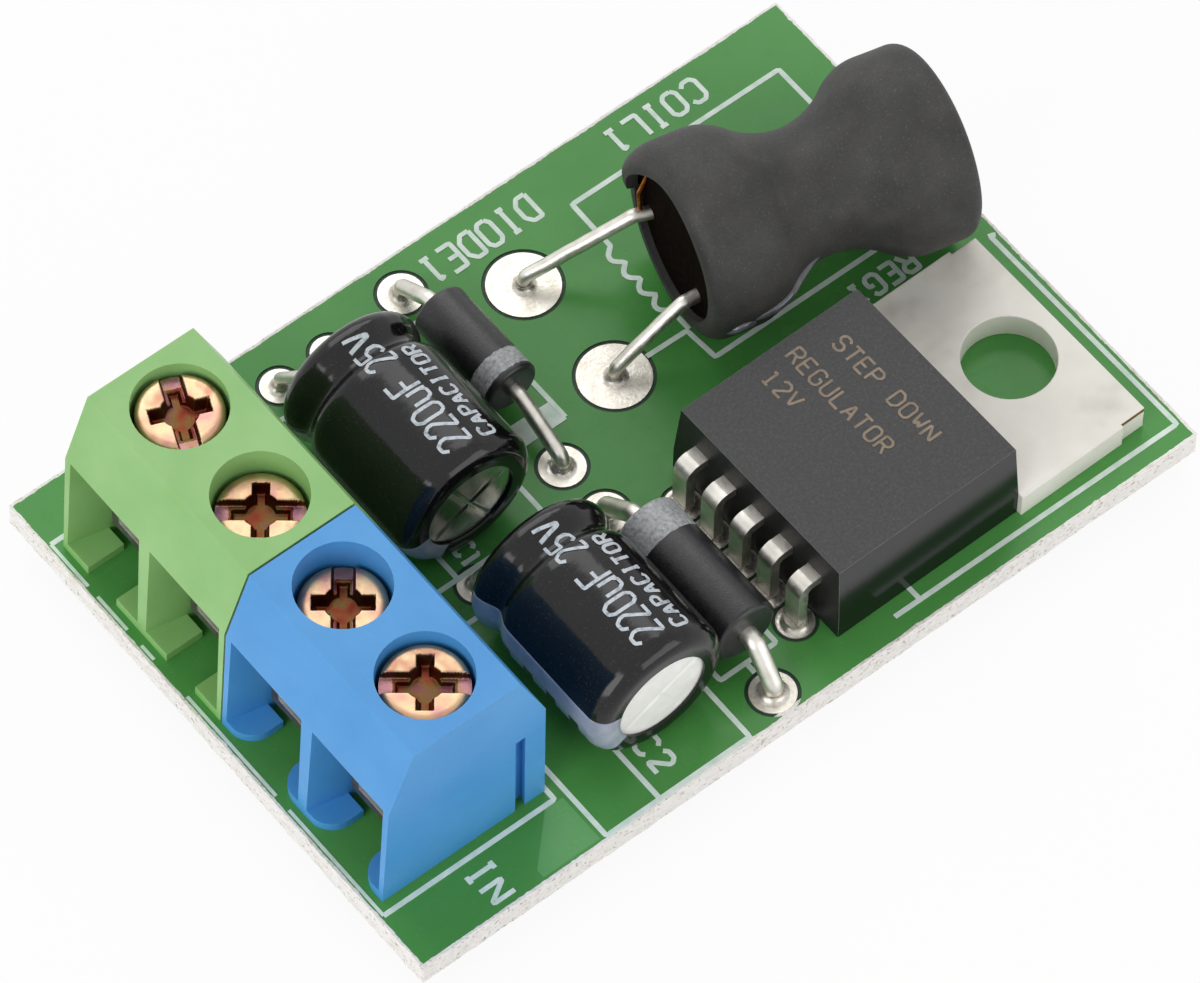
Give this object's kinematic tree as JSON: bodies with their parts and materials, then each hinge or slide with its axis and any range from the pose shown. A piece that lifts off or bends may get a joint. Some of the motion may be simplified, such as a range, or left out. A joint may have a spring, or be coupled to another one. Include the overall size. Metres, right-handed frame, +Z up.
{
  "type": "buck converter module",
  "caption": "Step-down power converter: a small circuit board with screw-clamp terminal blocks, a flat tab regulator, a sleeved drum choke, axial diodes and lying capacitors.",
  "frame": {"origin": "centre of the board's outline, at the level of the trimmed lead tips below the board", "axes": "+X along the board from the wire entries to the regulator's tab, +Y across it, +Z up from the component side"},
  "size_m": [0.0384, 0.026, 0.0117],
  "materials": {
    "board_green": "glass-fibre board under green solder mask",
    "tinned_copper": "tinned copper",
    "solder": "bright solder",
    "output_plastic": "satin green moulding",
    "input_plastic": "satin blue moulding",
    "yellow_zinc": "yellow zinc plating",
    "plated_steel": "nickel-plated steel",
    "contact_metal": "tinned brass strip",
    "moulded_epoxy": "matt black moulding compound",
    "tab_metal": "matt tin plating",
    "ferrite": "sintered ferrite",
    "enamelled_copper": "enamelled wire",
    "shrunk_sleeve": "matt shrunk sleeve",
    "can_aluminium": "bare aluminium",
    "capacitor_sleeve": "glossy shrunk film",
    "bung_rubber": "moulded rubber"
  },
  "bodies": {
    "module": {"circuit_board": "board_green", "plated_holes": "tinned_copper", "output_housing": "output_plastic", "input_housing": "input_plastic", "regulator_body": "moulded_epoxy", "regulator_tab": "tab_metal", "choke_drum": "ferrite", "choke_winding": "enamelled_copper", "choke_sleeve": "shrunk_sleeve", "choke_lead_1": "tinned_copper", "choke_lead_2": "tinned_copper", "output_diode": "moulded_epoxy", "input_diode": "moulded_epoxy", "contact_1": "contact_metal", "contact_2": "contact_metal", "contact_3": "contact_metal", "contact_4": "contact_metal", "regulator_lead_1": "tinned_copper", "regulator_lead_2": "tinned_copper", "regulator_lead_3": "tinned_copper", "regulator_lead_4": "tinned_copper", "regulator_lead_5": "tinned_copper", "output_diode_cathode_lead": "tinned_copper", "output_diode_anode_lead": "tinned_copper", "output_capacitor_can": "can_aluminium", "output_capacitor_sleeve": "capacitor_sleeve", "output_capacitor_bung": "bung_rubber", "output_capacitor_lead_1": "tinned_copper", "output_capacitor_lead_2": "tinned_copper", "input_diode_cathode_lead": "tinned_copper", "input_diode_anode_lead": "tinned_copper", "input_capacitor_can": "can_aluminium", "input_capacitor_sleeve": "capacitor_sleeve", "input_capacitor_bung": "bung_rubber", "input_capacitor_lead_1": "tinned_copper", "input_capacitor_lead_2": "tinned_copper", "terminal_solder": "solder", "choke_solder": "solder", "diode_solder": "solder", "capacitor_solder": "solder", "regulator_solder": "solder"},
    "screw_1": {"screw_1": "yellow_zinc"},
    "cage_1": {"cage_1": "plated_steel"},
    "screw_2": {"screw_2": "yellow_zinc"},
    "cage_2": {"cage_2": "plated_steel"},
    "screw_3": {"screw_3": "yellow_zinc"},
    "cage_3": {"cage_3": "plated_steel"},
    "screw_4": {"screw_4": "yellow_zinc"},
    "cage_4": {"cage_4": "plated_steel"}
  },
  "joints": [
    {"name": "screw_1_turn", "type": "hinge", "parent": "module", "child": "screw_1", "pos_m": [-0.01461, 0.00775, 0.0094], "axis": [0, 0, 1], "range_deg": [-1042, 402]},
    {"name": "cage_1_rise", "type": "slide", "parent": "module", "child": "cage_1", "axis": [0, 0, 1], "range_m": [-0.0005, 0.0013]},
    {"name": "screw_2_turn", "type": "hinge", "parent": "module", "child": "screw_2", "pos_m": [-0.01461, 0.00275, 0.0094], "axis": [0, 0, 1], "range_deg": [-1042, 402]},
    {"name": "cage_2_rise", "type": "slide", "parent": "module", "child": "cage_2", "axis": [0, 0, 1], "range_m": [-0.0005, 0.0013]},
    {"name": "screw_3_turn", "type": "hinge", "parent": "module", "child": "screw_3", "pos_m": [-0.01461, -0.00235, 0.0094], "axis": [0, 0, 1], "range_deg": [-1042, 402]},
    {"name": "cage_3_rise", "type": "slide", "parent": "module", "child": "cage_3", "axis": [0, 0, 1], "range_m": [-0.0005, 0.0013]},
    {"name": "screw_4_turn", "type": "hinge", "parent": "module", "child": "screw_4", "pos_m": [-0.01461, -0.00735, 0.0094], "axis": [0, 0, 1], "range_deg": [-1042, 402]},
    {"name": "cage_4_rise", "type": "slide", "parent": "module", "child": "cage_4", "axis": [0, 0, 1], "range_m": [-0.0005, 0.0013]}
  ],
  "couplings": [
    {"joint": "screw_1_turn", "follows": "cage_1_rise", "rad_per_m": -13963},
    {"joint": "screw_2_turn", "follows": "cage_2_rise", "rad_per_m": -13963},
    {"joint": "screw_3_turn", "follows": "cage_3_rise", "rad_per_m": -13963},
    {"joint": "screw_4_turn", "follows": "cage_4_rise", "rad_per_m": -13963}
  ]
}
